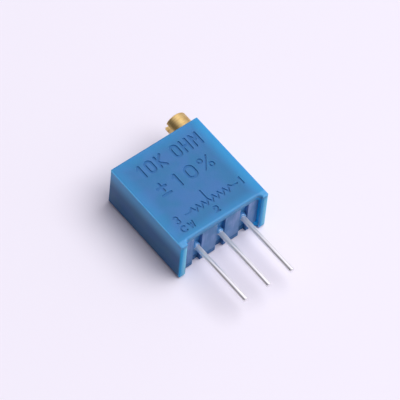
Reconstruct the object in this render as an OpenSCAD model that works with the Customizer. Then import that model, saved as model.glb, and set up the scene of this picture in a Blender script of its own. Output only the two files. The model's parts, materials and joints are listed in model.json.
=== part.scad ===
// A multi-turn trimmer potentiometer, lying on its back.
// X runs along the row of pins and Y from the leg tips to the adjusting screw.
// Z runs up through the marked face, and the origin is on the middle pin at the leg tips.

/* [Housing] */
// Width of the housing along the row of pins
body_w = 9.53; // [9.45:0.01:10.2]
// Height of the housing from the leg tips to the top end
body_h = 10.03; // [9.95:0.01:10.8]
// Thickness of the housing between its broad faces
body_t = 4.83; // [4.75:0.01:5.4]
// Radius of the upright edges
upright_edge_r = 0.2; // [0.1:0.05:0.5]
// Radius of the edges round the back
back_edge_r = 0.35; // [0.2:0.05:0.5]
// Radius of the edges round the marked face
face_edge_r = 0.15; // [0.08:0.01:0.3]
// Thickness of the side walls and of the legs that continue them
side_wall = 0.68; // [0.6:0.02:0.7]
// Thickness of the wall under the marked face
front_wall = 0.65; // [0.5:0.05:0.75]
// Thickness of the wall on the back
back_wall = 0.65; // [0.5:0.05:0.8]
// Thickness of the wall at the top end
top_wall = 0.7; // [0.6:0.05:0.75]
// Length of the legs beyond the underside
leg_h = 0.5; // [0.4:0.05:0.7]
// Radius of the rims between the legs
rim_r = 0.2; // [0.1:0.05:0.3]
// Radius of the corners where the rims turn down the legs
corner_r = 0.35; // [0.1:0.05:0.35]
// Width of the two rails that the ceramic plate lies on
rail_w = 0.8; // [0.5:0.1:1.2]
// Distance of each rail from the middle of the housing
rail_x = 2.9; // [2.4:0.1:3.2]

/* [Underside] */
// Width of the channel at each pin
channel_w = 0.9; // [0.88:0.02:1.1]
// Depth of the channels below the raised blocks
channel_depth = 0.4; // [0.2:0.05:0.6]
// Thickness of the moulded base, from the raised blocks to its top
plug_h = 1.15; // [1.05:0.05:1.3]
// Depth of the sealing resin in its pocket
seal_depth = 0.35; // [0.2:0.05:0.45]
// Width of the sealing resin
seal_d = 0.84; // [0.82:0.02:0.86]
// Rise of the resin up each pin
seal_rise = 0.3; // [0.25:0.01:0.32]
// Thickness of the resin that creeps up each pin
seal_creep = 0.1; // [0.1:0.01:0.12]

/* [Pins] */
// Diameter of the pins
pin_d = 0.51; // [0.4:0.01:0.6]
// Distance between neighbouring pins
pin_pitch = 2.54; // [2.5:0.01:2.6]
// Length of the pins beyond the leg tips
pin_len = 6.2; // [3:0.05:12]
// Width of the flattened inner stretch of each pin
coin_w = 0.6; // [0.52:0.01:0.6]
// Thickness of the flattened inner stretch
coin_t = 0.34; // [0.3:0.01:0.36]
// Depth at which each pin turns flat, in from the raised blocks
coin_depth = 0.13; // [0.13:0.01:0.15]
// Length of the soldered end
solder_len = 1; // [1:0.05:1.1]
// Radius of the solder joints
solder_r = 0.5; // [0.49:0.01:0.52]

/* [Adjusting screw] */
// Distance of the screw's axis from the side of the housing
screw_inset = 1.27; // [1.25:0.01:1.35]
// Distance of the screw's axis below the marked face
screw_drop = 1.27; // [1.25:0.01:1.35]
// Diameter of the head
head_d = 2.19; // [1.8:0.01:2.4]
// Height of the head above the housing
head_h = 1.4; // [1:0.02:2]
// Width of the driver slot
slot_w = 0.6; // [0.4:0.02:0.8]
// Depth of the driver slot
slot_depth = 0.6; // [0.3:0.05:0.9]
// Turn of the driver slot in the middle of the travel
slot_turn = 10; // [-90:1:90]
// Chamfer round the end of the head
head_chamfer = 0.08; // [0.02:0.01:0.2]
// Diameter of the bore through the top end
bore_d = 1.96; // [1.9:0.01:2]
// Diameter of the groove for the seal ring
ring_groove_d = 1.24; // [1.1:0.02:1.3]
// Width of the groove for the seal ring
ring_groove_w = 0.42; // [0.4:0.01:0.5]
// Diameter of the neck that the retainer holds
neck_d = 1; // [0.9:0.02:1.1]
// Length of the neck
neck_len = 0.43; // [0.4:0.01:0.5]
// Diameter of the pilot at the inner end
pilot_d = 0.8; // [0.7:0.02:0.84]
// Length of the pilot
pilot_len = 1.6; // [1.2:0.05:1.7]

/* [Worm drive] */
// Number of teeth on the wheel
wheel_teeth = 32; // [31:1:32]
// Pitch diameter of the worm
worm_pitch_d = 1.44; // [1.4:0.01:1.46]
// Height of the teeth and the thread outside the pitch line
tooth_rise = 0.17; // [0.12:0.01:0.17]
// Depth of the teeth and the thread inside the pitch line
tooth_root = 0.2; // [0.2:0.01:0.22]
// Thickness of a wheel tooth at the pitch line
tooth_w = 0.26; // [0.2:0.01:0.28]
// Thickness of the thread at the pitch line
thread_w = 0.19; // [0.15:0.01:0.21]
// Slope of the flanks from square to the pitch line
flank_angle = 20; // [14:1:22]
// Turns of thread on the worm
thread_turns = 6; // [4:0.5:6]
// Thickness of the wheel
wheel_t = 1; // [0.8:0.05:1.05]
// Diameter of the wheel's hub pin in the ceramic plate
hub_d = 0.9; // [0.7:0.02:1]
// Diameter of the wheel's collar
collar_d = 1.24; // [1.16:0.02:1.28]
// Diameter of the posts that hold the wiper
post_d = 0.3; // [0.2:0.02:0.36]

/* [Element] */
// Thickness of the ceramic plate
substrate_t = 0.64; // [0.5:0.02:0.8]
// Gap between the ceramic plate and each side wall
substrate_gap = 0.2; // [0.1:0.05:0.3]
// Thickness of the printed films
film_t = 0.03; // [0.02:0.01:0.04]
// Radius of the middle of the resistive track as a share of the wheel's pitch radius
track_share = 0.712; // [0.7:0.002:0.726]
// Width of the resistive track
track_w = 0.7; // [0.5:0.05:0.8]
// Angle that the track covers
track_angle = 292; // [289:1:294]
// Outer radius of the collector ring
ring_r = 1.35; // [1.2:0.01:1.4]
// Width of the collector ring
ring_w = 0.65; // [0.4:0.05:0.65]
// Width of the conductor from the ring to the middle pin
lead_w = 0.5; // [0.3:0.05:0.6]
// Width of each solder pad
pad_w = 1.04; // [1:0.02:1.1]
// Thickness of the wiper's spring sheet
wiper_t = 0.08; // [0.05:0.01:0.1]
// Radius of the wiper's round plate
wiper_r = 1.45; // [1.3:0.05:1.5]
// Width of each wiper finger
finger_w = 0.17; // [0.1:0.01:0.2]
// Distance between neighbouring fingers
finger_pitch = 0.27; // [0.24:0.01:0.3]
// Number of fingers on the track and on the ring
finger_count = 4; // [2:1:4]

/* [Screw retainer] */
// Thickness of the retainer
clip_t = 0.25; // [0.2:0.01:0.28]
// Half the width of the retainer
clip_half = 0.85; // [0.75:0.01:0.9]
// Reach of the retainer past the screw's axis
clip_reach = 0.75; // [0.6:0.05:0.8]
// Half the width of the block that holds the retainer
boss_half = 1.2; // [1.1:0.05:1.25]
// Length of the block that holds the retainer, below the top wall
boss_len = 1.18; // [1.1:0.02:1.2]
// Distance from the top end of the housing to the middle of the neck
neck_drop = 1.285; // [1.25:0.005:1.3]
// Distance from the top end of the housing to the middle of the seal ring
ring_drop = 0.52; // [0.45:0.01:0.55]

/* [Face marks] */
// Depth of the sunk marks
mark_depth = 0.09; // [0.03:0.01:0.15]
// Width of the strokes of the large marks
big_stroke = 0.27; // [0.15:0.01:0.32]
// Width of the strokes of the small marks
small_stroke = 0.18; // [0.1:0.01:0.2]
// Height of the upper row of marks
value_h = 1.2; // [0.9:0.05:1.4]
// Height of the middle row of marks
tolerance_h = 1.25; // [1:0.05:1.5]
// Height of the small numbers
number_h = 0.72; // [0.5:0.02:0.8]

/* [Fits] */
// Clearance of the screw and the hub in their bores
running_gap = 0.05; // [0.03:0.01:0.08]
// Clearance round the moulded base, the pins in it and the retainer
seat_gap = 0.03; // [0.02:0.01:0.05]
// Clearance between the wheel's collar and the ceramic plate
thrust_gap = 0.04; // [0.02:0.01:0.08]
// Clearance between the worm and the walls
worm_gap = 0.1; // [0.08:0.01:0.12]
// Clearance between the wheel and the side wall
wheel_side_gap = 0.09; // [0.08:0.01:0.14]
// Clearance between the wheel and the top wall
wheel_top_gap = 0.11; // [0.08:0.01:0.14]

/* [Hidden] */
$fn = 48;
// A small overlap that joins or cuts cleanly
eps = 0.05;

front_z = body_t / 2;
back_z = -body_t / 2;
front_in_z = front_z - front_wall;
back_in_z = back_z + back_wall;
side_in_x = body_w / 2 - side_wall;
top_in_y = body_h - top_wall;
channel_y = leg_h + channel_depth;
plug_top_y = leg_h + plug_h;

screw_x = body_w / 2 - screw_inset;
screw_z = front_z - screw_drop;
screw_fit_r = bore_d / 2 - running_gap;
neck_y = body_h - neck_drop;
collar_y = top_in_y - boss_len;
worm_r = worm_pitch_d / 2 + tooth_rise;
worm_core_r = worm_pitch_d / 2 - tooth_root;

// The largest wheel that fits between the worm and the far wall, and under the top wall
wheel_room_x = side_in_x - wheel_side_gap + screw_x - worm_pitch_d / 2 - tooth_rise;
wheel_room_y = top_in_y - plug_top_y - 2 * wheel_top_gap - 2 * tooth_rise;
wheel_pitch_r = min(wheel_room_x, wheel_room_y) / 2;
wheel_x = screw_x - worm_pitch_d / 2 - wheel_pitch_r;
wheel_y = top_in_y - wheel_top_gap - tooth_rise - wheel_pitch_r;
worm_lead = 2 * PI * wheel_pitch_r / wheel_teeth;
worm_len = thread_turns * worm_lead;
wheel_low_z = screw_z - wheel_t / 2;
wheel_high_z = screw_z + wheel_t / 2;
wiper_z = wheel_low_z - wiper_t;
pilot_top_y = wheel_y - worm_len / 2 - 0.2;

pin_r = pin_d / 2;
coin_y = leg_h + coin_depth;
pad_z = -coin_t / 2;
film_z = pad_z - film_t;
substrate_low_z = film_z - substrate_t;
pad_low_y = plug_top_y + 0.2;
pin_end_y = pad_low_y + solder_len - 0.15;
pad_high_y = pad_low_y + solder_len;
track_r = track_share * wheel_pitch_r;
track_in_r = track_r - track_w / 2;
track_out_r = track_r + track_w / 2;
track_start = 90 - track_angle / 2;
track_end = 90 + track_angle / 2;

// A prism along Z whose long edges are rounded, by one radius near its X axis and another far from it
module round_prism(size, near_r, far_r) {
    translate([0, near_r, 0])
        cube([size.x, size.y - near_r - far_r, size.z]);
    for (edge = [[near_r, near_r], [far_r, size.y - far_r]]) {
        r = edge[0];
        translate([r, edge[1] - r, 0])
            cube([size.x - 2 * r, 2 * r, size.z]);
        for (x = [r, size.x - r])
            translate([x, edge[1], 0])
                cylinder(r = r, h = size.z);
    }
}

// The housing's outer form, rounded on all its edges
module housing_block() {
    intersection() {
        translate([-body_w / 2, 0, back_z])
            round_prism([body_w, body_h, body_t], upright_edge_r, upright_edge_r);
        translate([-body_w / 2, body_h, back_z])
            rotate([90, 0, 0])
                round_prism([body_w, body_t, body_h], back_edge_r, face_edge_r);
        translate([-body_w / 2, 0, back_z])
            rotate([90, 0, 90])
                round_prism([body_h, body_t, body_w], back_edge_r, face_edge_r);
    }
}

// What rounding takes off an edge, seen along it
module rim_profile() {
    difference() {
        translate([-eps, -rim_r])
            square(rim_r + eps);
        translate([rim_r, -rim_r])
            circle(r = rim_r);
    }
}

// The recess between the legs, with round corners and rims
module leg_recess() {
    turn_x = side_in_x - corner_r;
    turn_y = leg_h - corner_r;
    translate([-side_in_x, -corner_r, back_z - eps])
        round_prism([2 * side_in_x, leg_h + corner_r, body_t + 2 * eps], eps, corner_r);
    for (m = [0, 1], n = [0, 1])
        mirror([m, 0, 0])
            mirror([0, 0, n])
                translate([0, 0, front_z]) {
                    translate([0, leg_h, 0])
                        rotate([90, 0, 90])
                            linear_extrude(turn_x)
                                rim_profile();
                    translate([turn_x, turn_y, 0])
                        rotate_extrude(angle = 90)
                            translate([corner_r, 0])
                                rim_profile();
                    translate([side_in_x, turn_y, 0])
                        rotate([90, 0, 0])
                            linear_extrude(turn_y + eps)
                                rim_profile();
                }
}

// The three channels across the underside, from the back to the marked face's wall
module pin_channels() {
    for (i = [-1:1])
        translate([i * pin_pitch - channel_w / 2, leg_h - eps, back_z - eps])
            cube([channel_w, channel_depth + eps, front_in_z - back_z + eps]);
}

// One round-ended stroke of a mark
module stroke(a, b, w) {
    run = b - a;
    translate(a)
        rotate(atan2(run.y, run.x))
            translate([0, -w / 2])
                square([norm(run), w]);
    translate(a)
        circle(d = w);
    translate(b)
        circle(d = w);
}

// A run of strokes through a list of points
module strokes(points, w) {
    for (i = [1:len(points) - 1])
        stroke(points[i - 1], points[i], w);
}

// An arc of a mark, which leaves out less than half a circle, with round ends
module arc(centre, r, from, to, w) {
    reach = 2 * r + w;
    middle = (to + from + 360) / 2;
    translate(centre) {
        difference() {
            circle(r = r + w / 2);
            circle(r = r - w / 2);
            polygon([
                [0, 0],
                reach * [cos(to), sin(to)],
                2 * reach * [cos(middle), sin(middle)],
                reach * [cos(from), sin(from)]
            ]);
        }
        for (a = [from, to])
            translate(r * [cos(a), sin(a)])
                circle(d = w);
    }
}

// Each sign is drawn about its middle, 2 a wide and 2 b high between the middles of its strokes
module sign_one(b, w) {
    strokes([[0, -b], [0, b], [-0.4 * b, 0.65 * b]], w);
}

// A bar with round ends, where half is the distance from its middle to the middle of each end
module upright_oval(r, half) {
    translate([-r, -half])
        square([2 * r, 2 * half]);
    for (side = [-1, 1])
        translate([0, side * half])
            circle(r = r);
}

module sign_zero(a, b, w) {
    difference() {
        upright_oval(a + w / 2, b - a);
        upright_oval(a - w / 2, b - a);
    }
}

module sign_two(a, b, w) {
    arc([0, b - a], a, -50, 170, w);
    strokes([a * [cos(-50), sin(-50)] + [0, b - a], [-a, -b], [a, -b]], w);
}

module sign_three(b, w) {
    arc([0, b / 2], b / 2, -90, 140, w);
    arc([0, -b / 2], b / 2, -140, 90, w);
}

module sign_k(a, b, w) {
    stroke([-a, -b], [-a, b], w);
    strokes([[a, b], [-a, 0], [a, -b]], w);
}

module sign_h(a, b, w) {
    for (side = [-1, 1])
        stroke([side * a, -b], [side * a, b], w);
    stroke([-a, 0], [a, 0], w);
}

module sign_m(a, b, w) {
    strokes([[-a, -b], [-a, b], [0, 0], [a, b], [a, -b]], w);
}

module sign_plus_minus(a, b, w) {
    stroke([-a, b - a], [a, b - a], w);
    stroke([0, b], [0, b - 2 * a], w);
    stroke([-a, -b], [a, -b], w);
}

module sign_percent(a, b, w) {
    r = 0.45 * a;
    stroke([-a, -b], [a, b], w);
    for (side = [-1, 1])
        translate(side * [a - r / 2, r - b])
            difference() {
                circle(r = r + w / 2);
                circle(r = r - w / 2);
            }
}

module sign_c(b, w) {
    arc([0, 0], b, 50, 310, w);
}

module sign_w(a, b, w) {
    strokes([[-a, b], [-a / 2, -b], [0, b / 2], [a / 2, -b], [a, b]], w);
}

// The value in the upper row and its tolerance in the middle row
module value_marks() {
    value_a = 0.3;
    value_b = value_h / 2;
    value_step = body_w / 9.5;
    value_y = body_h - 1.8;
    tolerance_a = 0.42;
    tolerance_b = tolerance_h / 2;
    tolerance_step = body_w / 6.1;
    tolerance_y = value_y - 2.45;
    translate([0.2, value_y]) {
        translate([-2.9 * value_step, 0])
            sign_one(value_b, big_stroke);
        translate([-2 * value_step, 0])
            sign_zero(value_a, value_b, big_stroke);
        translate([-0.9 * value_step, 0])
            sign_k(value_a, value_b, big_stroke);
        translate([0.8 * value_step, 0])
            sign_zero(value_a, value_b, big_stroke);
        translate([1.85 * value_step, 0])
            sign_h(value_a, value_b, big_stroke);
        translate([2.95 * value_step, 0])
            sign_m(value_a * 1.1, value_b, big_stroke);
    }
    translate([0, tolerance_y]) {
        translate([-1.5 * tolerance_step, 0])
            sign_plus_minus(tolerance_a, tolerance_b, big_stroke);
        translate([-0.45 * tolerance_step, 0])
            sign_one(tolerance_b, big_stroke);
        translate([0.45 * tolerance_step, 0])
            sign_zero(tolerance_a, tolerance_b, big_stroke);
        translate([1.5 * tolerance_step, 0])
            sign_percent(tolerance_a * 1.1, tolerance_b, small_stroke);
    }
}

// The sign of a resistor with its wiper, and the number of each pin
module circuit_marks() {
    row_y = 2.52;
    wave = 0.3;
    step = 0.29;
    waves = 8;
    end_x = waves * step;
    middle_x = 0.4;
    number_a = number_h / 3;
    number_b = number_h / 2;
    translate([middle_x, row_y]) {
        strokes([
            [-end_x - 0.5, 0],
            [-end_x, 0],
            for (i = [1:2 * waves - 1])
                [i * step - end_x, wave * (i % 2 == 0 ? -1 : 1)],
            [end_x, 0],
            [end_x + 0.5, 0]
        ], small_stroke);
        stroke([-step, wave], [-step, wave + 0.95], small_stroke);
        translate([-step, -1.05])
            sign_two(number_a * 0.8, number_b * 0.8, small_stroke);
    }
    translate([1.36 - body_w / 2, row_y])
        sign_three(number_b, small_stroke);
    translate([body_w / 2 - 1.06, row_y + 0.05])
        sign_one(number_b, small_stroke);
    translate([1.36 - body_w / 2, row_y - 1.05])
        sign_c(number_b * 0.8, small_stroke);
    translate([2.16 - body_w / 2, row_y - 1.05])
        sign_w(number_a, number_b * 0.8, small_stroke);
}

module face_marks() {
    translate([0, 0, front_z - mark_depth])
        linear_extrude(mark_depth + eps) {
            value_marks();
            circuit_marks();
        }
}

// The space inside the housing, open at the underside
module cavity() {
    translate([-side_in_x, -eps, back_in_z])
        cube([2 * side_in_x, top_in_y + eps, front_in_z - back_in_z]);
}

// The block inside the top end that holds the retainer round the screw
module retainer_block() {
    translate([screw_x - boss_half, collar_y, screw_z - boss_half])
        cube([side_in_x - screw_x + boss_half + eps, boss_len + eps, front_in_z - screw_z + boss_half + eps]);
}

module retainer_slot() {
    half_t = clip_t / 2 + seat_gap;
    half_w = clip_half + seat_gap;
    translate([screw_x - boss_half - eps, neck_y - half_t, screw_z - half_w])
        cube([boss_half + clip_reach + seat_gap + eps, 2 * half_t, 2 * half_w]);
}

module housing() {
    color("#4878ae")
        difference() {
            union() {
                difference() {
                    housing_block();
                    cavity();
                }
                retainer_block();
                for (side = [-1, 1])
                    translate([side * rail_x - rail_w / 2, plug_top_y, back_in_z - eps])
                        cube([rail_w, top_in_y - plug_top_y + eps, substrate_low_z - back_in_z + eps]);
            }
            leg_recess();
            pin_channels();
            translate([screw_x, plug_top_y, screw_z])
                rotate([-90, 0, 0])
                    cylinder(r = worm_r + worm_gap, h = collar_y - plug_top_y + eps);
            translate([screw_x, collar_y - eps, screw_z])
                rotate([-90, 0, 0])
                    cylinder(d = bore_d, h = body_h - collar_y + 2 * eps);
            retainer_slot();
            face_marks();
        }
}

module base_plug() {
    half_w = side_in_x - seat_gap;
    low_z = back_in_z + seat_gap;
    high_z = front_in_z - seat_gap;
    bearing_r = pilot_d / 2 + 0.38;
    bearing_top_y = pilot_top_y - 0.3;
    color("#5f74a4")
        difference() {
            union() {
                translate([-half_w, leg_h, low_z])
                    cube([2 * half_w, plug_h, high_z - low_z]);
                translate([screw_x, plug_top_y - eps, screw_z])
                    rotate([-90, 0, 0])
                        cylinder(r = min(bearing_r, half_w - screw_x), h = bearing_top_y - plug_top_y + eps);
            }
            pin_channels();
            for (i = [-1:1])
                translate([i * pin_pitch, channel_y - eps, 0]) {
                    rotate([-90, 0, 0])
                        cylinder(d = seal_d, h = seal_depth + eps);
                    translate([-coin_w / 2 - seat_gap, 0, -coin_t / 2 - seat_gap])
                        cube([coin_w + 2 * seat_gap, plug_h + eps, coin_t + 2 * seat_gap]);
                }
            translate([screw_x, pilot_top_y - pilot_len - seat_gap, screw_z])
                rotate([-90, 0, 0])
                    cylinder(r = pilot_d / 2 + running_gap, h = pilot_len);
        }
}

// A pin, which is round outside the resin and flattened inside it
module pin_form(i) {
    tip_chamfer = pin_d / 8;
    translate([i * pin_pitch, coin_y, 0])
        rotate([90, 0, 0])
            rotate_extrude()
                polygon([
                    [0, 0],
                    [pin_r, 0],
                    [pin_r, coin_y + pin_len - tip_chamfer],
                    [pin_r - tip_chamfer, coin_y + pin_len],
                    [0, coin_y + pin_len]
                ]);
    translate([i * pin_pitch - coin_w / 2, coin_y - eps, -coin_t / 2])
        cube([coin_w, pin_end_y - coin_y + eps, coin_t]);
}

// The resin fills its pocket and creeps up the pin
module pin_seal(i) {
    color("#3d5578")
        difference() {
            translate([i * pin_pitch, channel_y + seal_depth, 0])
                rotate([90, 0, 0])
                    rotate_extrude()
                        polygon([
                            [0, 0],
                            [seal_d / 2, 0],
                            [seal_d / 2, seal_depth],
                            [pin_r + seal_creep, seal_depth + 0.9 * seal_rise],
                            [pin_r, seal_depth + seal_rise],
                            [0, seal_depth + seal_rise]
                        ]);
            pin_form(i);
        }
}

module terminal_pin(i) {
    color("#c3c3c6")
        pin_form(i);
}

// A dome of solder on the pad, which stays clear of the wheel that passes over it
module solder_joint(i) {
    middle_y = (pad_low_y + pad_high_y) / 2;
    color("#b9bcc0")
        difference() {
            translate([i * pin_pitch, middle_y, pad_z])
                sphere(r = solder_r);
            for (low_z = [pad_z - 2 * solder_r, wheel_low_z - thrust_gap])
                translate([i * pin_pitch - pad_w, middle_y - pad_w, low_z])
                    cube([2 * pad_w, 2 * pad_w, 2 * solder_r]);
            pin_form(i);
        }
}

module ceramic_substrate() {
    half_w = side_in_x - substrate_gap;
    color("#e8e6df")
        difference() {
            translate([-half_w, plug_top_y, substrate_low_z])
                cube([2 * half_w, top_in_y - substrate_gap - plug_top_y, substrate_t]);
            translate([wheel_x, wheel_y, substrate_low_z - eps])
                cylinder(r = hub_d / 2 + running_gap, h = substrate_t + 2 * eps);
        }
}

// The track's arc, grown by a gap on all its sides but not at its ends
module track_arc(gap) {
    translate([wheel_x, wheel_y, film_z - gap])
        rotate(track_start)
            rotate_extrude(angle = track_angle)
                translate([track_in_r - gap, 0])
                    square([track_w + 2 * gap, film_t + 2 * gap]);
}

module resistive_track() {
    color("#2c2b2d")
        track_arc(0);
}

module solder_pad(i) {
    translate([i * pin_pitch - pad_w / 2, pad_low_y])
        square([pad_w, solder_len]);
}

module collector_ring() {
    color("#b98c5a")
        translate([0, 0, film_z])
            linear_extrude(film_t) {
                difference() {
                    union() {
                        translate([wheel_x, wheel_y])
                            circle(r = ring_r);
                        polygon([
                            [-lead_w / 2, pad_high_y - eps],
                            [lead_w / 2, pad_high_y - eps],
                            [wheel_x + lead_w / 2, wheel_y - ring_r + lead_w / 2],
                            [wheel_x - lead_w / 2, wheel_y - ring_r + lead_w / 2]
                        ]);
                    }
                    translate([wheel_x, wheel_y])
                        circle(r = ring_r - ring_w);
                }
                solder_pad(0);
            }
}

// The conductor from an outer pin's pad, which butts against the end of the track at this angle
module end_pad(i, angle) {
    color("#b98c5a")
        difference() {
            translate([0, 0, film_z])
                linear_extrude(film_t) {
                    solder_pad(i);
                    hull() {
                        translate([i * pin_pitch - pad_w / 2 + eps, pad_high_y - 2 * eps])
                            square([pad_w - 2 * eps, eps]);
                        translate([wheel_x, wheel_y])
                            rotate(angle)
                                translate([track_r, 0])
                                    circle(r = track_w / 3, $fn = 16);
                    }
                }
            track_arc(film_t);
        }
}

// One tooth's outline, from its near root to its far root
function tooth_points(angle) =
    let (slope = tan(flank_angle),
        root_r = wheel_pitch_r - tooth_root,
        tip_r = wheel_pitch_r + tooth_rise,
        root_a = asin((tooth_w / 2 + tooth_root * slope) / root_r),
        tip_a = asin((tooth_w / 2 - tooth_rise * slope) / tip_r))
    [
        root_r * [cos(angle - root_a), sin(angle - root_a)],
        tip_r * [cos(angle - tip_a), sin(angle - tip_a)],
        tip_r * [cos(angle + tip_a), sin(angle + tip_a)],
        root_r * [cos(angle + root_a), sin(angle + root_a)]
    ];

module worm_wheel() {
    web_depth = wheel_t / 5;
    color("#e9e4d4")
        translate([wheel_x, wheel_y, 0]) {
            difference() {
                translate([0, 0, wheel_low_z])
                    linear_extrude(wheel_t)
                        polygon([
                            for (i = [0:wheel_teeth - 1])
                                each tooth_points(i * 360 / wheel_teeth)
                        ]);
                translate([0, 0, wheel_high_z - web_depth])
                    difference() {
                        cylinder(r = wheel_pitch_r - 3 * tooth_root, h = web_depth + eps);
                        translate([0, 0, -eps])
                            cylinder(d = collar_d, h = web_depth + 3 * eps);
                    }
            }
            translate([0, 0, substrate_low_z + 0.1])
                cylinder(d = hub_d, h = wheel_low_z - substrate_low_z - 0.1 + eps);
            translate([0, 0, film_z + thrust_gap])
                cylinder(d = collar_d, h = wheel_low_z - film_z - thrust_gap + eps);
            for (side = [-1, 1])
                translate([side * (wiper_r + collar_d / 2) / 2, 0, wiper_z - wiper_t])
                    cylinder(d = post_d, h = 2 * wiper_t + eps);
        }
}

// A row of sprung fingers that bend down from the plate to touch at contact_y
module wiper_fingers(start_y, contact_y) {
    toe = 0.15 * sign(contact_y - start_y);
    low_z = pad_z + 0.01;
    first = -(finger_count - 1) / 2;
    for (i = [0:finger_count - 1])
        translate([(first + i) * finger_pitch - finger_w / 2, 0, 0])
            rotate([90, 0, 90])
                linear_extrude(finger_w)
                    polygon([
                        [start_y, wiper_z + wiper_t],
                        [contact_y, low_z + wiper_t],
                        [contact_y + toe, low_z + 2 * wiper_t],
                        [contact_y + toe, low_z + wiper_t],
                        [contact_y, low_z],
                        [start_y, wiper_z]
                    ]);
}

module wiper_contact() {
    tab_w = (finger_count - 1) * finger_pitch + finger_w;
    track_tab_y = track_r - 0.6;
    ring_tab_y = -track_r + 0.45;
    ring_contact_y = -ring_r + ring_w / 2;
    tab_rim = 0.16;
    color("#d3a75c")
        translate([wheel_x, wheel_y, 0]) {
            difference() {
                union() {
                    translate([0, 0, wiper_z])
                        cylinder(r = wiper_r, h = wiper_t);
                    translate([-tab_w / 2 - tab_rim, ring_tab_y, wiper_z])
                        cube([tab_w + 2 * tab_rim, track_tab_y - ring_tab_y + 0.02, wiper_t]);
                }
                translate([0, 0, wiper_z - eps])
                    cylinder(r = collar_d / 2 + seat_gap, h = wiper_t + 2 * eps);
                for (side = [-1, 1])
                    translate([side * (wiper_r + collar_d / 2) / 2, 0, wiper_z - eps])
                        cylinder(r = post_d / 2 + 0.01, h = wiper_t + 2 * eps);
                // Room for the fingers that bend back to the collector ring
                translate([-tab_w / 2 - seat_gap, ring_tab_y + 0.12, wiper_z - eps])
                    cube([tab_w + 2 * seat_gap, 0.5, wiper_t + 2 * eps]);
            }
            wiper_fingers(track_tab_y, track_r);
            wiper_fingers(ring_tab_y + 0.1, ring_contact_y);
        }
}

// One turn of the worm's thread as a swept outline, which fades out at both ends
module worm_thread() {
    steps = 20;
    rings = thread_turns * steps;
    slope = tan(flank_angle);
    sunk_r = worm_core_r - eps;
    half_tip = thread_w / 2 - tooth_rise * slope;
    half_root = thread_w / 2 + (tooth_root + eps) * slope;
    start_y = wheel_y - worm_len / 2;
    // The wheel has a tooth level with its axis, so the thread passes half a lead away
    phase = 180 - 360 * (worm_len / 2 / worm_lead - 0.5);
    points = [
        for (i = [0:rings])
            let (
                a = phase + i * 360 / steps,
                y = start_y + i * worm_lead / steps,
                fade = min(1, i / 5, (rings - i) / 5),
                tip_r = sunk_r + 0.01 + (worm_r - sunk_r - 0.01) * fade
            )
            each [
                [sunk_r * cos(a), sunk_r * sin(a), y - half_root],
                [tip_r * cos(a), tip_r * sin(a), y - half_tip],
                [tip_r * cos(a), tip_r * sin(a), y + half_tip],
                [sunk_r * cos(a), sunk_r * sin(a), y + half_root]
            ]
    ];
    last = 4 * rings;
    polyhedron(points, [
        [3, 2, 1, 0],
        [last, last + 1, last + 2, last + 3],
        for (i = [0:rings - 1], k = [0:3])
            let (a = 4 * i + k, b = 4 * i + (k + 1) % 4)
            each [[a, b, a + 4], [b, b + 4, a + 4]]
    ]);
}

module adjusting_screw() {
    head_r = head_d / 2;
    neck_low_y = neck_y - neck_len / 2;
    neck_high_y = neck_y + neck_len / 2;
    ring_low_y = body_h - ring_drop - ring_groove_w / 2;
    ring_high_y = ring_low_y + ring_groove_w;
    color("#c9a24c")
        translate([screw_x, 0, screw_z])
            rotate([-90, 0, 0]) {
                difference() {
                    rotate_extrude()
                        polygon([
                            [0, pilot_top_y - pilot_len],
                            [pilot_d / 2, pilot_top_y - pilot_len],
                            [pilot_d / 2, pilot_top_y],
                            [worm_core_r, pilot_top_y],
                            [worm_core_r, collar_y],
                            [screw_fit_r, collar_y],
                            [screw_fit_r, neck_low_y],
                            [neck_d / 2, neck_low_y],
                            [neck_d / 2, neck_high_y],
                            [screw_fit_r, neck_high_y],
                            [screw_fit_r, ring_low_y],
                            [ring_groove_d / 2, ring_low_y],
                            [ring_groove_d / 2, ring_high_y],
                            [screw_fit_r, ring_high_y],
                            [screw_fit_r, body_h + running_gap],
                            [head_r, body_h + running_gap],
                            [head_r, body_h + head_h - head_chamfer],
                            [head_r - head_chamfer, body_h + head_h],
                            [0, body_h + head_h]
                        ]);
                    rotate(slot_turn)
                        translate([-head_r - eps, -slot_w / 2, body_h + head_h - slot_depth])
                            cube([head_d + 2 * eps, slot_w, slot_depth + eps]);
                }
                worm_thread();
            }
}

module o_ring() {
    inner_r = ring_groove_d / 2 + 0.01;
    outer_r = bore_d / 2 - 0.01;
    color("#2b2b2b")
        translate([screw_x, body_h - ring_drop, screw_z])
            rotate([-90, 0, 0])
                rotate_extrude()
                    translate([(inner_r + outer_r) / 2, 0])
                        circle(r = (outer_r - inner_r) / 2);
}

module screw_retainer() {
    notch_r = neck_d / 2 + running_gap;
    color("#aeb2b6")
        translate([screw_x, neck_y - clip_t / 2, screw_z])
            rotate([-90, 0, 0])
                difference() {
                    translate([-boss_half, -clip_half, 0])
                        cube([boss_half + clip_reach, 2 * clip_half, clip_t]);
                    translate([0, 0, -eps])
                        cylinder(r = notch_r, h = clip_t + 2 * eps);
                    translate([0, -notch_r, -eps])
                        cube([clip_reach + eps, 2 * notch_r, clip_t + 2 * eps]);
                }
}

housing();
base_plug();
pin_seal(1);  // pin_seal_1
pin_seal(0);  // pin_seal_2
pin_seal(-1);  // pin_seal_3
terminal_pin(1);  // terminal_pin_1
terminal_pin(0);  // terminal_pin_2
terminal_pin(-1);  // terminal_pin_3
solder_joint(1);  // solder_joint_1
solder_joint(0);  // solder_joint_2
solder_joint(-1);  // solder_joint_3
ceramic_substrate();
resistive_track();
collector_ring();
end_pad(-1, track_end);  // end_pad_cw
end_pad(1, track_start);  // end_pad_ccw
worm_wheel();
wiper_contact();
adjusting_screw();
o_ring();
screw_retainer();
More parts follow.
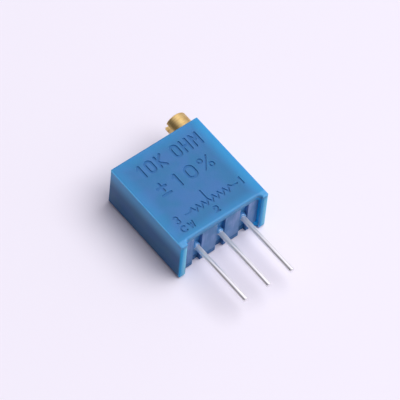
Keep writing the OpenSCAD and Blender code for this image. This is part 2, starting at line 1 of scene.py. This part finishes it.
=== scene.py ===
"""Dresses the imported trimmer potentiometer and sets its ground, light and camera.

Lengths are written in millimetres and turned into Blender's metres by MM. The marked face looks
along +Z, the screw along +Y, and pin 1 is on the +X side. The legs' tips are at y = 0.
"""

import json
from math import cos, pi, radians, sin

import bmesh
import bpy
from mathutils import Matrix, Vector


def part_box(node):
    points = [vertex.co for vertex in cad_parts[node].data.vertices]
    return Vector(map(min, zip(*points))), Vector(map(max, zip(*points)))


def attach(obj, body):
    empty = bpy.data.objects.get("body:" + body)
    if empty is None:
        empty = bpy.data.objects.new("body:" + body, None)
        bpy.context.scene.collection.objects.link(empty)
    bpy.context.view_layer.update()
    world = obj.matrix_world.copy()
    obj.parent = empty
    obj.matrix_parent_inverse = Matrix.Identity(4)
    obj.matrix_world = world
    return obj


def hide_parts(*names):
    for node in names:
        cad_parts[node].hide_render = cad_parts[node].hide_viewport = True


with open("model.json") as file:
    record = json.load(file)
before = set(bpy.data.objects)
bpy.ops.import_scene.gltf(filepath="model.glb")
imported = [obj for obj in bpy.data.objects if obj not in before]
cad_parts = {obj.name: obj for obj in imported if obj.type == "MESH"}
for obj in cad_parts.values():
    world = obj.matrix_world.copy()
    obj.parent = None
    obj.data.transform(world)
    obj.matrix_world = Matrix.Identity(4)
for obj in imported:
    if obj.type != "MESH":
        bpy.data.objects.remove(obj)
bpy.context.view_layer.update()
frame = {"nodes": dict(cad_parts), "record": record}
NODES = frame["nodes"]
MM = 0.001


def box_mm(node):
    """A node's lowest and highest corners in millimetres."""
    return [Vector(corner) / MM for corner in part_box(node)]


HOUSING_LOW, HOUSING_HIGH = box_mm("housing")
FACE_Z = HOUSING_HIGH.z
BACK_Z = HOUSING_LOW.z
SIDE_X = HOUSING_HIGH.x
TOP_Y = HOUSING_HIGH.y


def srgb(r, g, b):
    """A colour given in 8-bit display values, as linear light."""
    return tuple(
        v / 255 / 12.92 if v <= 10 else ((v / 255 + 0.055) / 1.055) ** 2.4
        for v in (r, g, b)
    )


# Shader nodes

SURFACE_SOCKETS = {"ior": "IOR", "specular_ior_level": "Specular IOR Level"}
MIX_FACTOR, MIX_COLOUR_A, MIX_COLOUR_B, MIX_COLOUR_OUT = 0, 6, 7, 2
EVEN = (1, 1, 1)


class Graph:
    """Short names for the shader nodes used here."""

    def __init__(self, tree):
        self.tree = tree

    def new(self, kind):
        return self.tree.nodes.new("ShaderNode" + kind)

    def link(self, source, target):
        self.tree.links.new(source, target)

    def feed(self, socket, value):
        """Sets a socket to a value, or links it to another node's output."""
        if isinstance(value, bpy.types.NodeSocket):
            self.link(value, socket)
        elif isinstance(value, tuple) and socket.type == "RGBA":
            socket.default_value = (*value, 1.0)
        else:
            socket.default_value = value

    def math(self, operation, *values):
        node = self.new("Math")
        node.operation = operation
        for socket, value in zip(node.inputs, values):
            self.feed(socket, value)
        return node.outputs[0]

    def fold(self, operation, *values):
        """Joins any number of values by one operation, from left to right."""
        result = values[0]
        for value in values[1:]:
            result = self.math(operation, result, value)
        return result

    def times(self, *values):
        return self.fold("MULTIPLY", *values)

    def most(self, *values):
        return self.fold("MAXIMUM", *values)

    def ramp(self, value, start, end, first=0.0, last=1.0):
        """Runs smoothly from first to last as value goes from start to end."""
        node = self.new("MapRange")
        node.interpolation_type = "SMOOTHSTEP"
        for socket, given in zip(node.inputs, (value, start, end, first, last)):
            self.feed(socket, given)
        return node.outputs[0]

    def mix(self, factor, a, b):
        """Colour a at factor 0, and colour b at factor 1."""
        node = self.new("Mix")
        node.data_type = "RGBA"
        self.feed(node.inputs[MIX_FACTOR], factor)
        self.feed(node.inputs[MIX_COLOUR_A], a)
        self.feed(node.inputs[MIX_COLOUR_B], b)
        return node.outputs[MIX_COLOUR_OUT]


class Shader(Graph):
    """One material, with its pattern in the object's own frame."""

    def __init__(self, name):
        self.material = bpy.data.materials.new(name)
        self.material.use_nodes = True
        super().__init__(self.material.node_tree)
        self.tree.nodes.clear()
        output = self.new("OutputMaterial")
        self.surface = self.new("BsdfPrincipled")
        self.link(self.surface.outputs[0], output.inputs["Surface"])
        self.place = self.new("TexCoord").outputs["Object"]
        split = self.new("SeparateXYZ")
        self.link(self.place, split.inputs[0])
        self.x, self.y, self.z = (self.math("MULTIPLY", axis, 1 / MM) for axis in split.outputs)

    def set(self, **values):
        """Feeds the surface's sockets, named in lower case with underscores."""
        for key, value in values.items():
            socket = SURFACE_SOCKETS.get(key, key.replace("_", " ").title())
            self.feed(self.surface.inputs[socket], value)

    def noise(self, scale, detail=3.0, stretch=EVEN):
        """Noise with about this many features in a millimetre, from 0 to 1."""
        mapping = self.new("Mapping")
        mapping.inputs["Scale"].default_value = [s * scale / MM for s in stretch]
        self.link(self.place, mapping.inputs["Vector"])
        node = self.new("TexNoise")
        node.inputs["Scale"].default_value = 1.0
        node.inputs["Detail"].default_value = detail
        self.link(mapping.outputs[0], node.inputs["Vector"])
        return node.outputs[0]

    def patchy(self, low, high):
        """Wanders between two values in soft patches of about half a millimetre."""
        return self.ramp(self.noise(1.6), 0.3, 0.7, first=low, last=high)

    def bump(self, height, depth):
        """Raises the surface by up to this depth in millimetres."""
        node = self.new("Bump")
        node.inputs["Distance"].default_value = depth * MM
        self.link(height, node.inputs["Height"])
        self.link(node.outputs[0], self.surface.inputs["Normal"])


class HousingShader(Shader):
    """Adds ramps between two distances, in millimetres, in from the housing's outer faces."""

    def from_face(self, start, end):
        return self.ramp(self.z, FACE_Z - start, FACE_Z - end)

    def from_pin_1_side(self, start, end):
        return self.ramp(self.x, SIDE_X - start, SIDE_X - end)

    def from_pin_3_side(self, start, end):
        return self.ramp(self.x, start - SIDE_X, end - SIDE_X)

    def from_both_sides(self, start, end):
        return self.ramp(self.math("ABSOLUTE", self.x), SIDE_X - start, SIDE_X - end)

    def from_screw_end(self, start, end):
        return self.ramp(self.y, TOP_Y - start, TOP_Y - end)

    def from_leg_tips(self, start, end):
        return self.ramp(self.y, start, end)


# Materials

def housing_plastic():
    """Blue moulded plastic, with a painted cyan glow near its edges, painted highlights, and
    painted light and shade on its legs and marks.
    """
    m = HousingShader("housing_plastic")
    blotches = m.ramp(m.noise(0.45, 2), 0.35, 0.65)
    base = m.mix(blotches, srgb(48, 117, 169), srgb(62, 117, 177))
    # Painted light colours: a painted glow, a painted highlight for pin 3's side, and a painted
    # highlight for the rim over the pins.
    painted_glow_cyan, painted_highlight_cyan, painted_rim_highlight = srgb(48, 150, 209), srgb(104, 192, 252), srgb(108, 176, 230)
    scatter_reach, scatter_rgb = 0.5, (0.3, 0.8, 1.0)
    # Painted cyan glow, strongest along the lit side of the face.
    base = m.mix(housing_painted_glow(m), base, painted_glow_cyan)
    # Painted highlight along the upper part of pin 3's side.
    pin_3_edge_highlight = m.times(m.from_pin_3_side(0.12, 0), m.from_face(2.4, 0.3))
    base = m.mix(pin_3_edge_highlight, base, painted_highlight_cyan)
    # Painted highlight on the front of the rim over the pins.
    rim_highlight_mask = m.times(m.from_leg_tips(0.7, 0.52), m.from_face(0.7, 0.3), 0.5)
    base = m.mix(rim_highlight_mask, base, painted_rim_highlight)
    base = leg_painted_light(m, base)
    base = mark_painted_light_and_shade(m, base)
    m.set(
        base_color=base,
        roughness=m.ramp(blotches, 0, 1, first=0.4, last=0.48),
        ior=1.36,
        subsurface_weight=0.4,
        subsurface_scale=scatter_reach * MM,
    )
    m.surface.inputs["Subsurface Radius"].default_value = scatter_rgb
    m.bump(m.noise(13, 2), 0.005)
    return m.material


def housing_painted_glow(m):
    """A painted glow that stands in for light coming through the plastic, strongest along the lit
    side of the face.
    """
    near_face = m.from_face(1.6, 0.3)
    return m.most(
        m.times(m.from_pin_1_side(1.5, 0.2), near_face, 0.95),
        m.times(m.from_pin_1_side(0.9, 0), 0.6),
        m.times(m.from_pin_3_side(1.4, 0.2), near_face, 0.35),
        m.times(m.from_pin_3_side(0.12, 0), near_face, 0.8),
        m.times(m.from_screw_end(1.5, 0.2), near_face, 0.4),
        m.times(m.from_leg_tips(1.6, 0.6), near_face, 0.45),
    )


def leg_painted_light(m, base):
    """Painted light on the two legs: a painted cyan glow on their inner sides, and lit and shaded
    tones painted on their ends.
    """
    # A painted glow for the inner sides, and painted shade and painted light for the ends.
    painted_inner_glow, shaded, lit = srgb(20, 178, 255), srgb(58, 178, 246), srgb(130, 216, 255)
    inner_side_glow_mask = m.times(
        m.from_both_sides(0.3, 0.62),
        m.from_both_sides(1.2, 0.8),
        m.from_leg_tips(1.1, 0.5),
        m.from_face(0.2, 0.6),
    )
    base = m.mix(inner_side_glow_mask, base, painted_inner_glow)
    on_leg_1 = m.ramp(m.x, 0, 1)
    # Painted light in the middle of each leg end, and painted shade at its edges.
    end = m.mix(m.from_pin_3_side(0.05, 0.5), shaded, lit)
    end = m.mix(m.times(m.from_pin_1_side(0.25, 0.6), on_leg_1), end, shaded)
    return m.mix(m.times(m.from_leg_tips(0.3, 0.05), m.from_face(0.1, 0.6)), base, end)


def mark_painted_light_and_shade(m, base):
    """Painted light on the walls and painted shade on the floor of the sunk marks in the face."""
    # Painted light for the mark walls, and painted shade for the mark floors.
    painted_wall_light, painted_floor_shade = srgb(96, 170, 226), srgb(30, 96, 158)
    among_marks = m.times(
        m.from_face(0.14, 0.1),
        m.from_leg_tips(0.6, 0.9),
        m.from_screw_end(0.5, 0.7),
        m.from_pin_1_side(0.4, 0.5),
        m.from_pin_3_side(0.4, 0.5),
    )
    base = m.mix(m.times(among_marks, m.from_face(0.01, 0.03), 0.35), base, painted_wall_light)
    return m.mix(m.times(among_marks, m.from_face(0.06, 0.08), 0.75), base, painted_floor_shade)


def base_plastic():
    """Greyer plastic with faint draw marks from the mould, and painted light inside the pin
    channels.
    """
    m = Shader("base_plastic")
    draws = m.noise(2.2, 3, (1, 0.05, 0.16))
    patches = m.ramp(m.noise(1.1, 3, (1, 0.4, 0.5)), 0.38, 0.62)
    draw_blue, painted_channel_light, low_grey = srgb(56, 118, 180), srgb(46, 156, 220), srgb(78, 134, 192)
    base = m.mix(patches, srgb(66, 128, 186), srgb(116, 150, 208))
    base = m.mix(m.ramp(draws, 0.4, 0.65, last=0.6), base, draw_blue)
    # Painted light that lifts the shade inside the pin channels.
    channel_light_mask = m.ramp(m.y, 0.7, 0.9, last=0.7)
    base = m.mix(channel_light_mask, base, painted_channel_light)
    toward_back = m.ramp(m.z, 0.6, -1.2, last=0.6)
    base = m.mix(toward_back, base, low_grey)
    m.set(base_color=base, roughness=0.4)
    m.bump(draws, 0.04)
    return m.material


def resin():
    """Clear blue sealing resin with a wet gloss."""
    m = Shader("resin")
    cloud = m.noise(2.5, 2)
    m.set(
        base_color=m.mix(cloud, srgb(56, 124, 190), srgb(110, 172, 228)),
        roughness=m.ramp(cloud, 0.2, 0.8, first=0.12, last=0.24),
        coat_weight=0.6,
    )
    m.bump(cloud, 0.03)
    return m.material


def tinned_wire():
    """Tinned wire, bright toward the tip and dull near the resin."""
    m = Shader("tinned_wire")
    streaks = m.noise(4, 2, (1, 0.1, 1))
    m.set(
        base_color=m.mix(streaks, srgb(232, 231, 232), srgb(250, 249, 250)),
        metallic=m.ramp(m.y, -2.4, -0.2, first=0.95, last=0.65),
        roughness=m.patchy(0.285, 0.36),
    )
    m.bump(streaks, 0.0003)
    return m.material


def screw_brass():
    """Turned brass, with fine tool rings and a few tarnished spots."""
    m = Shader("screw_brass")
    rings = m.noise(9, 3, (0.15, 1, 0.15))
    tarnish = m.ramp(m.noise(1.3, 4), 0.5, 0.75)
    clean = m.mix(rings, srgb(188, 152, 94), srgb(234, 208, 142))
    brown = srgb(146, 108, 58)
    m.set(
        base_color=m.mix(m.times(tarnish, 0.5), clean, brown),
        metallic=1.0,
        roughness=m.ramp(tarnish, 0, 1, first=0.34, last=0.5),
    )
    m.bump(rings, 0.006)
    return m.material


def metal(name, dark, light, roughness, streaks, depth, stretch=EVEN):
    """Bare metal with this many streaks in a millimetre, drawn out where stretch is small."""
    m = Shader(name)
    pattern = m.noise(streaks, 3, stretch)
    m.set(
        base_color=m.mix(pattern, dark, light),
        metallic=1.0,
        roughness=m.patchy(roughness * 0.8, roughness * 1.25),
    )
    m.bump(pattern, depth)
    return m.material


def plain(name, dark, light, roughness, clouds, depth):
    """A matt material with this many soft clouds in a millimetre."""
    m = Shader(name)
    pattern = m.noise(clouds, 4)
    m.set(base_color=m.mix(pattern, dark, light), roughness=roughness)
    m.bump(pattern, depth)
    return m.material


FINISHES = {
    "housing_plastic": housing_plastic(),
    "base_plastic": base_plastic(),
    "resin": resin(),
    "screw_brass": screw_brass(),
    "tinned_wire": tinned_wire(),
    "solder": metal(
        "solder", srgb(160, 162, 166), srgb(205, 206, 210),
        roughness=0.3, streaks=3, depth=0.01,
    ),
    "conductive_film": metal(
        "conductive_film", srgb(150, 112, 74), srgb(190, 150, 106),
        roughness=0.42, streaks=7, depth=0.003,
    ),
    "spring_metal": metal(
        "spring_metal", srgb(190, 150, 84), srgb(226, 188, 116),
        roughness=0.28, streaks=9, depth=0.002, stretch=(1, 0.1, 1),
    ),
    "clip_steel": metal(
        "clip_steel", srgb(140, 142, 146), srgb(188, 190, 194),
        roughness=0.3, streaks=9, depth=0.002, stretch=(1, 1, 0.1),
    ),
    "ceramic": plain(
        "ceramic", srgb(222, 220, 212), srgb(238, 237, 232),
        roughness=0.6, clouds=6, depth=0.004,
    ),
    "resistive_film": plain(
        "resistive_film", srgb(30, 30, 32), srgb(52, 50, 50),
        roughness=0.5, clouds=8, depth=0.003,
    ),
    "wheel_plastic": plain(
        "wheel_plastic", srgb(214, 207, 186), srgb(234, 228, 210),
        roughness=0.45, clouds=2, depth=0.004,
    ),
    "ring_rubber": plain(
        "ring_rubber", srgb(26, 26, 28), srgb(42, 42, 44),
        roughness=0.6, clouds=5, depth=0.004,
    ),
}


# Pieces

def slot_of(node):
    """The record's material slot that a node takes its finish from."""
    parts = frame["record"]["subparts"]
    return next(part["material_slot"] for part in parts if part["node"] == node)


def body_of(node):
    """The body that a node rides on."""
    bodies = frame["record"]["behaviour"]["bodies"]
    return next(body for body, members in bodies.items() if node in members)


def dress(thing, slot):
    """Gives a thing its slot's finish."""
    thing.data.materials.clear()
    thing.data.materials.append(FINISHES[slot])


def add_object(name, data):
    thing = bpy.data.objects.new(name, data)
    bpy.context.scene.collection.objects.link(thing)
    return thing


def stand_for(piece, node):
    """The piece takes the node's place, body and finish."""
    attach(piece, body_of(node))
    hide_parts(node)
    dress(piece, slot_of(node))


def turns(count):
    """This many equal steps round a circle, as angles."""
    return [2 * pi * k / count for k in range(count)]


def ring_mesh(name, rings, smooth):
    """A closed mesh through rings of points, where the last ring joins the first again."""
    same_place = 0.0001 * MM
    form = bmesh.new()
    rings = [[form.verts.new(point * MM) for point in ring] for ring in rings]
    for ring, after in zip(rings, rings[1:] + rings[:1]):
        for i in range(len(ring)):
            j = (i + 1) % len(ring)
            form.faces.new((ring[i], ring[j], after[j], after[i]))
    bmesh.ops.remove_doubles(form, verts=form.verts, dist=same_place)
    bmesh.ops.recalc_face_normals(form, faces=form.faces)
    for face in form.faces:
        face.smooth = smooth
    mesh = bpy.data.meshes.new(name)
    form.to_mesh(mesh)
    form.free()
    return mesh


def cutter(inner_r, outer_r, depth, place, outward):
    """A drum or ring that sinks to this depth at a place on a surface, and stands out over it."""
    over, around = 0.2, 32
    turn = Vector((0, 0, 1)).rotation_difference(Vector(outward)).to_matrix()
    outline = [(inner_r, -depth), (outer_r, -depth), (outer_r, over), (inner_r, over)]
    rings = [
        [Vector(place) + turn @ Vector((r * cos(a), r * sin(a), h)) for r, h in outline]
        for a in turns(around)
    ]
    return ring_mesh("cutter", rings, smooth=False)


def mould_marks():
    """Cutters for the gate's dimple in the top end and the ejector pins' marks on the back."""
    gate_r, stub_r, gate_depth, stub_low, overlap = 0.5, 0.16, 0.08, 0.02, 0.01
    ejector_r, ejector_depth, ejector_x, ejector_ys = 0.65, 0.05, 3.1, (2.4, 7.6)
    screw_low, screw_high = box_mm("adjusting_screw")
    gate = (-(screw_low.x + screw_high.x) / 4, TOP_Y, (FACE_Z + BACK_Z) / 2)
    out_of_top, out_of_back = (0, 1, 0), (0, 0, -1)
    cutters = [
        cutter(stub_r, gate_r, gate_depth, gate, out_of_top),
        cutter(0, stub_r + overlap, stub_low, gate, out_of_top),
    ]
    for x in (-ejector_x, ejector_x):
        for y in ejector_ys:
            cutters.append(cutter(0, ejector_r, ejector_depth, (x, y, BACK_Z), out_of_back))
    return cutters


def cut_away(piece, cutters):
    """Cuts these forms out of a piece's mesh."""
    whole = add_object("whole", piece.data)
    tools = [add_object("tool", form) for form in cutters]
    for tool in tools:
        cut = whole.modifiers.new("cut", "BOOLEAN")
        cut.operation = "DIFFERENCE"
        cut.solver = "EXACT"
        cut.object = tool
    graph = bpy.context.evaluated_depsgraph_get()
    piece.data = bpy.data.meshes.new_from_object(whole.evaluated_get(graph))
    for thing in [whole] + tools:
        bpy.data.objects.remove(thing)


def round_leg_edges(form):
    """Rounds the edge between each leg's end and its inner side."""
    leg_width, radius, tolerance = 0.68, 0.2, 0.03

    def on_edge(vert):
        at_tip = abs(vert.co.y) < tolerance * MM
        at_inner_side = abs(abs(vert.co.x) - (SIDE_X - leg_width) * MM) < tolerance * MM
        return at_tip and at_inner_side

    bmesh.ops.bevel(
        form,
        geom=[edge for edge in form.edges if all(on_edge(vert) for vert in edge.verts)],
        offset=radius * MM,
        segments=4,
        profile=0.5,
        affect="EDGES",
        clamp_overlap=False,
    )


def soft_edged(node, width):
    """A copy of a node's mesh, cleaned of its triangles, with its sharp edges broken."""
    sharp, flat, same_place = radians(25), radians(2), 0.0005 * MM
    is_housing = node == "housing"
    mesh = NODES[node].data.copy()
    piece = add_object(node + "_dressed", mesh)
    form = bmesh.new()
    form.from_mesh(mesh)
    bmesh.ops.remove_doubles(form, verts=form.verts, dist=same_place)
    bmesh.ops.dissolve_limit(form, angle_limit=flat, verts=form.verts, edges=form.edges)
    if is_housing:
        round_leg_edges(form)
    for face in form.faces:
        face.smooth = True
    form.to_mesh(mesh)
    form.free()
    if is_housing:
        cut_away(piece, mould_marks())
    bevel = piece.modifiers.new("edges", "BEVEL")
    bevel.width = width * MM
    bevel.segments = 2
    bevel.limit_method = "ANGLE"
    bevel.angle_limit = sharp
    bevel.harden_normals = True
    piece.data.set_sharp_from_angle(angle=sharp)
    normals = piece.modifiers.new("normals", "WEIGHTED_NORMAL")
    normals.weight = 100
    normals.keep_sharp = True
    stand_for(piece, node)


def resin_collar(node):
    """The resin's wet surface, swelling round a pin and sagging a little unevenly."""
    pin_r, rise, fullness = 0.25, 0.4, 0.45
    mean_sag, lean, ripple = 1.18, 0.12, 0.06
    steps, around, sharp = 8, 40, radians(50)
    low, high = box_mm(node)
    outer_r = (high.x - low.x) / 2
    middle_x, middle_z = (high.x + low.x) / 2, (high.z + low.z) / 2
    foot_y = low.y + rise
    outline = [(pin_r, high.y), (outer_r, high.y)]
    for i in range(steps + 1):
        a = pi / 2 * i / steps
        swell = max(cos(a), 0) ** fullness
        outline.append((pin_r + (outer_r - pin_r) * swell, foot_y - rise * sin(a)))
    rings = []
    for a in turns(around):
        sag = mean_sag + lean * sin(a + middle_x) + ripple * sin(3 * a + 2 * middle_x)
        rings.append([
            Vector((
                middle_x + r * cos(a),
                foot_y + (y - foot_y) * (sag if y < foot_y else 1),
                middle_z + r * sin(a),
            ))
            for r, y in outline
        ])
    mesh = ring_mesh(node, rings, smooth=True)
    mesh.set_sharp_from_angle(angle=sharp)
    stand_for(add_object(node + "_wet", mesh), node)


# How wide each piece's broken edges are, in millimetres
EDGE_WIDTHS = {
    "housing": 0.03,
    "base_plug": 0.05,
    "adjusting_screw": 0.03,
    "terminal_pin_1": 0.02,
    "terminal_pin_2": 0.02,
    "terminal_pin_3": 0.02,
}
for node in sorted(NODES):
    if node in EDGE_WIDTHS:
        soft_edged(node, EDGE_WIDTHS[node])
    elif node.startswith("pin_seal"):
        resin_collar(node)
    else:
        dress(NODES[node], slot_of(node))


# Ground, light and camera

def direction(azimuth, elevation):
    """A unit vector: toward the pins' end at azimuth 0, and pin 1's side at a quarter turn."""
    return Vector((sin(azimuth) * cos(elevation), -cos(azimuth) * cos(elevation), sin(elevation)))


def ground():
    """Pale paper under the part, which throws back less light than it shows."""
    half_width, squares = 400, 8
    shown_dark, shown_light = (0.855, 0.82, 0.925), (0.865, 0.83, 0.935)
    thrown_back = (0.45, 0.44, 0.48)
    mesh = bpy.data.meshes.new("ground")
    form = bmesh.new()
    bmesh.ops.create_grid(form, x_segments=squares, y_segments=squares, size=half_width * MM)
    form.to_mesh(mesh)
    form.free()
    thing = add_object("ground", mesh)
    thing.location.z = BACK_Z * MM
    m = Shader("ground_paper")
    path = m.new("LightPath").outputs
    seen = m.most(path["Is Camera Ray"], path["Is Glossy Ray"], path["Is Transmission Ray"])
    paper = m.mix(m.noise(0.02, 2), shown_dark, shown_light)
    m.set(
        base_color=m.mix(seen, thrown_back, paper),
        roughness=0.95,
        specular_ior_level=0.1,
    )
    mesh.materials.append(m.material)


def key_light():
    """A large soft lamp, high on the side of pin 1 and a little toward the pins."""
    toward = direction(radians(58), radians(65))
    distance_m, disc_m, power_w = 1.0, 1.0, 9.9
    light = bpy.data.lights.new("key", "AREA")
    light.shape = "DISK"
    light.size = disc_m
    light.energy = power_w
    light.color = (1.0, 0.985, 0.96)
    lamp = add_object("key", light)
    lamp.location = toward * distance_m
    lamp.rotation_euler = toward.to_track_quat("Z", "Y").to_euler()


def sky():
    """Pale where the camera sees it, with light that fades away from the lamp's side."""
    lean_x, lean_y = 0.6, -0.15
    world = bpy.data.worlds.new("studio")
    world.use_nodes = True
    g = Graph(world.node_tree)
    background = world.node_tree.nodes["Background"]
    split = g.new("SeparateXYZ")
    g.link(g.new("TexCoord").outputs["Generated"], split.inputs[0])
    height = g.math("MULTIPLY_ADD", split.outputs["X"], lean_x, split.outputs["Z"])
    height = g.math("MULTIPLY_ADD", split.outputs["Y"], lean_y, height)
    light = g.ramp(height, 0.0, 0.9, first=0.05, last=0.5)
    shine = g.ramp(height, 0.1, 0.9, first=0.17, last=1.05)
    path = g.new("LightPath").outputs
    extra_shine = g.math("SUBTRACT", shine, light)
    strength = g.math("MULTIPLY_ADD", path["Is Glossy Ray"], extra_shine, light)
    g.feed(background.inputs["Color"], (0.93, 0.9, 1.0))
    g.feed(background.inputs["Strength"], g.most(strength, path["Is Camera Ray"]))
    bpy.context.scene.world = world


def camera():
    """The photograph's view, from far off and high over pin 3's side and the pins."""
    azimuth, elevation, roll = radians(316.23), radians(55.71), radians(6.436)
    target, distance = Vector((0.677, 4.196, 0.011)), 400
    focal_pixels, picture_pixels = 4631, 400
    nearest_m, farthest_m = 0.001, 10
    back = direction(azimuth, elevation)
    level_right = Vector((cos(azimuth), sin(azimuth), 0))
    level_up = back.cross(level_right)
    right = cos(roll) * level_right + sin(roll) * level_up
    up = cos(roll) * level_up - sin(roll) * level_right
    lens = bpy.data.cameras.new("camera")
    lens.lens = focal_pixels / picture_pixels * lens.sensor_width
    lens.clip_start = nearest_m
    lens.clip_end = farthest_m
    thing = add_object("camera", lens)
    turn = Matrix((right, up, back)).transposed().to_4x4()
    thing.matrix_world = Matrix.Translation(target * MM + back * distance * MM) @ turn
    bpy.context.scene.camera = thing


ground()
key_light()
sky()
camera()
bpy.context.scene.view_settings.view_transform = "Standard"
